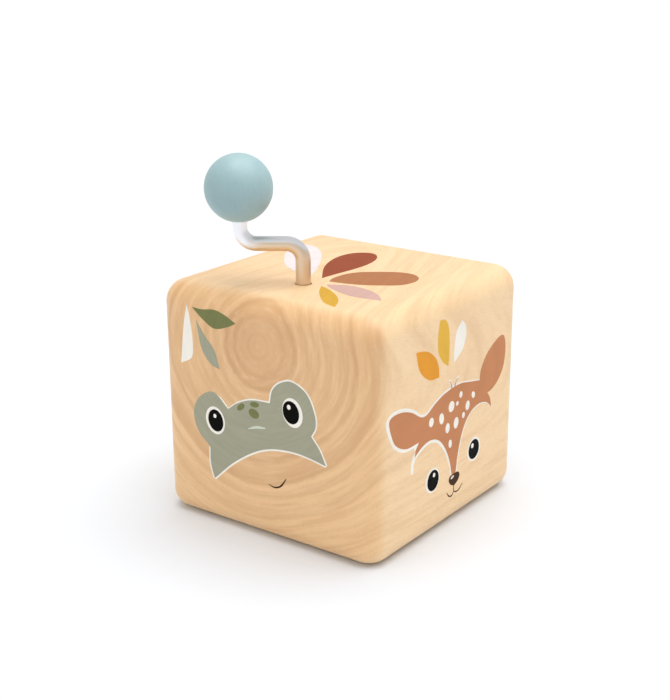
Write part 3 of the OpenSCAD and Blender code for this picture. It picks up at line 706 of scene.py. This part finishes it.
def top_leaves():
    """Five leaves in a fan round the foot of the rod."""
    red = outline([
        (0, -12), (0.9, -4), (2.1, 5), (2, 13.5), (0, 20.5), (-3.8, 25), (-7.8, 25), (-11.2, 22),
        (-12.6, 16), (-11.3, 8), (-7.5, -0.8), (0, -12),
    ])
    terracotta = outline([
        (4.3, -13.8), (3.1, -9.5), (3.6, -3), (6.2, 1.8), (11.8, 6.2), (17.2, 9.3), (22.2, 9.7),
        (26.4, 7), (28.1, 2), (26.6, -3.8), (21.8, -7.8), (15.8, -11.2), (9.8, -13), (4.3, -13.8),
    ])
    pink = outline(
        [(6.1, -17.6), (10.5, -15), (16, -14), (22.5, -15.4), (28, -18.8), (31.7, -22.8)],
        [(31.7, -22.8), (26, -23.8), (20, -24), (13.5, -22), (9, -19.7), (6.1, -17.6)],
    )
    mustard = outline(
        [(5.8, -20), (10.2, -21.8), (16.2, -26), (20.8, -31), (23.8, -37)],
        [(23.8, -37), (18.2, -35), (12.8, -30), (8.6, -24.8), (5.8, -20)],
    )
    white = outline([
        (-5.2, -11.8), (-7.3, -5.8), (-11.4, 1.6), (-16.8, 10.2), (-22, 16.8), (-28, 21.6),
        (-32.6, 22.4), (-34.2, 17.5), (-31.6, 8.6), (-26, 0.5), (-20.5, -5.4), (-13.3, -9.8),
        (-5.2, -11.8),
    ])
    # The terracotta, mustard and white leaves take darker inks: painted shade that evens out the stronger
    # light on the top.
    printed("top_leaf_red", "top", red, "red")
    printed("top_leaf_terracotta", "top", terracotta, "shaded_terracotta")
    printed("top_leaf_pink", "top", pink, "pink")
    printed("top_leaf_mustard", "top", mustard, "shaded_mustard")
    printed("top_leaf_white", "top", white, "dark_white")


def hidden_side_leaves():
    """The two sides out of view carry the same kind of leaf fan, and no animal."""
    fans = {
        "back": {
            "terracotta": leaf(-6, 46, 128, 20, 7),
            "pink": leaf(-1, 47, 95, 22, 7.5),
            "mustard": leaf(4, 46, 60, 18, 7),
        },
        "left": {
            "olive": leaf(-5, 47, 122, 20, 7),
            "sage": leaf(0, 48, 88, 21, 7.5),
            "white": leaf(5, 46, 50, 18, 6.5),
        },
    }
    for face, leaves in fans.items():
        for colour, shape in leaves.items():
            printed(f"{face}_leaf_{colour}", face, shape, colour)


# ---------- surroundings ----------

CAMERA_PLACE = (0.2573, -0.3535, 0.1995)    # m, for a picture of 670 by 700
CAMERA_YAW = 36.42           # degrees, turned left from looking along +Y
CAMERA_PITCH = 18.36         # degrees, looking down
CAMERA_ROLL = -0.32
CAMERA_LENS = 67.87          # mm
CAMERA_SENSOR = 36.0         # mm, along the picture's long side

# Where the lamps stand, as directions from the block
ABOVE = Vector((0.13, 0.11, 0.985))
FRONT_LEFT = Vector((-0.35, -0.9, 0.1))

FLOOR_RADIUS = 6.0           # m
BACKDROP_RADIUS = 5.99       # m, just inside the floor's edge
BACKDROP_HEIGHT = 8.0        # m
BACKDROP_SINK = 0.1          # m, how far its lower edge lies below the floor


def add_camera():
    """The camera looks down at the block from the front right."""
    data = bpy.data.cameras.new("camera")
    data.lens = CAMERA_LENS
    data.sensor_width = CAMERA_SENSOR
    data.clip_start = 0.01
    data.clip_end = 50.0
    camera = bpy.data.objects.new("camera", data)
    turn = (
        Matrix.Rotation(math.radians(CAMERA_YAW), 4, "Z")
        @ Matrix.Rotation(math.radians(90 - CAMERA_PITCH), 4, "X")
        @ Matrix.Rotation(math.radians(CAMERA_ROLL), 4, "Z")
    )
    camera.matrix_world = Matrix.Translation(CAMERA_PLACE) @ turn
    bpy.context.scene.collection.objects.link(camera)
    bpy.context.scene.camera = camera


def add_lamp(name, toward, energy, spread):
    """A far lamp that shines from the direction `toward`, as soft as its spread in degrees."""
    data = bpy.data.lights.new(name, "SUN")
    data.energy = energy
    data.angle = math.radians(spread)
    lamp = bpy.data.objects.new(name, data)
    lamp.rotation_euler = toward.to_track_quat("Z", "Y").to_euler()
    bpy.context.scene.collection.objects.link(lamp)
    return lamp


def link_light(lamp, node, leave_out):
    """Lets a lamp light one node alone, or leaves that node out of its light, as a flag would."""
    receivers = bpy.data.collections.new(lamp.name + "_receivers")
    lamp.light_linking.receiver_collection = receivers
    receivers.objects.link(nodes[node])
    if leave_out:
        receivers.collection_objects[0].light_linking.link_state = "EXCLUDE"


def add_light():
    """An even white room, a very soft lamp above, a faint one in front and one for the ball alone."""
    world = bpy.data.worlds.new("studio")
    world.use_nodes = True
    background = world.node_tree.nodes["Background"]
    background.inputs["Color"].default_value = (1.0, 1.0, 1.0, 1.0)
    background.inputs["Strength"].default_value = 0.66
    bpy.context.scene.world = world
    link_light(add_lamp("soft_sun", ABOVE, 2.15, 60), "crank_rod", leave_out=True)
    link_light(add_lamp("fill", FRONT_LEFT, 0.45, 120), "knob_ball", leave_out=True)
    link_light(add_lamp("knob_light", ABOVE, 0.75, 60), "knob_ball", leave_out=False)


def add_stage_piece(name, mesh, material):
    """Makes an object of the surroundings from a bmesh, which is freed."""
    data = bpy.data.meshes.new(name)
    mesh.to_mesh(data)
    mesh.free()
    data.materials.append(material)
    piece = bpy.data.objects.new(name, data)
    bpy.context.scene.collection.objects.link(piece)
    return piece


def add_floor():
    """A round of matt white paper."""
    shader = Shader("floor")
    place = shader.add("ShaderNodeTexCoord", output="Object")
    paper = shader.noise(place, 900.0, 3.0)
    colour = shader.mix(paper, (0.745, 0.765, 0.795, 1.0), (0.765, 0.785, 0.815, 1.0))
    material = shader.finish({"Base Color": colour, "Roughness": 0.9, "Specular IOR Level": 0.1})
    mesh = bmesh.new()
    bmesh.ops.create_circle(mesh, cap_ends=True, segments=64, radius=FLOOR_RADIUS)
    floor = add_stage_piece("floor", mesh, material)


def add_backdrop():
    """White paper standing at the floor's edge; it gives and takes no light."""
    shader = Shader("backdrop")
    place = shader.add("ShaderNodeTexCoord", output="Object")
    cloud = shader.noise(place, 0.4, 1.0)
    colour = shader.mix(cloud, (0.99, 0.99, 0.99, 1.0), (1.0, 1.0, 1.0, 1.0))
    inputs = {"Base Color": (0.0, 0.0, 0.0, 1.0), "Emission Color": colour, "Emission Strength": 1.0}
    material = shader.finish(inputs)
    mesh = bmesh.new()
    bmesh.ops.create_cone(
        mesh, cap_ends=False, segments=64,
        radius1=BACKDROP_RADIUS, radius2=BACKDROP_RADIUS, depth=BACKDROP_HEIGHT,
    )
    backdrop = add_stage_piece("backdrop", mesh, material)
    backdrop.location.z = BACKDROP_HEIGHT / 2 - BACKDROP_SINK
    backdrop.visible_diffuse = False
    backdrop.visible_glossy = False
    backdrop.visible_transmission = False
    backdrop.visible_shadow = False


INKS = make_inks()
add_camera()
add_light()
add_floor()
add_backdrop()
dress_cad_nodes()
frog()
fawn()
front_leaves()
right_leaves()
top_leaves()
hidden_side_leaves()
bpy.context.scene.view_settings.view_transform = "Standard"
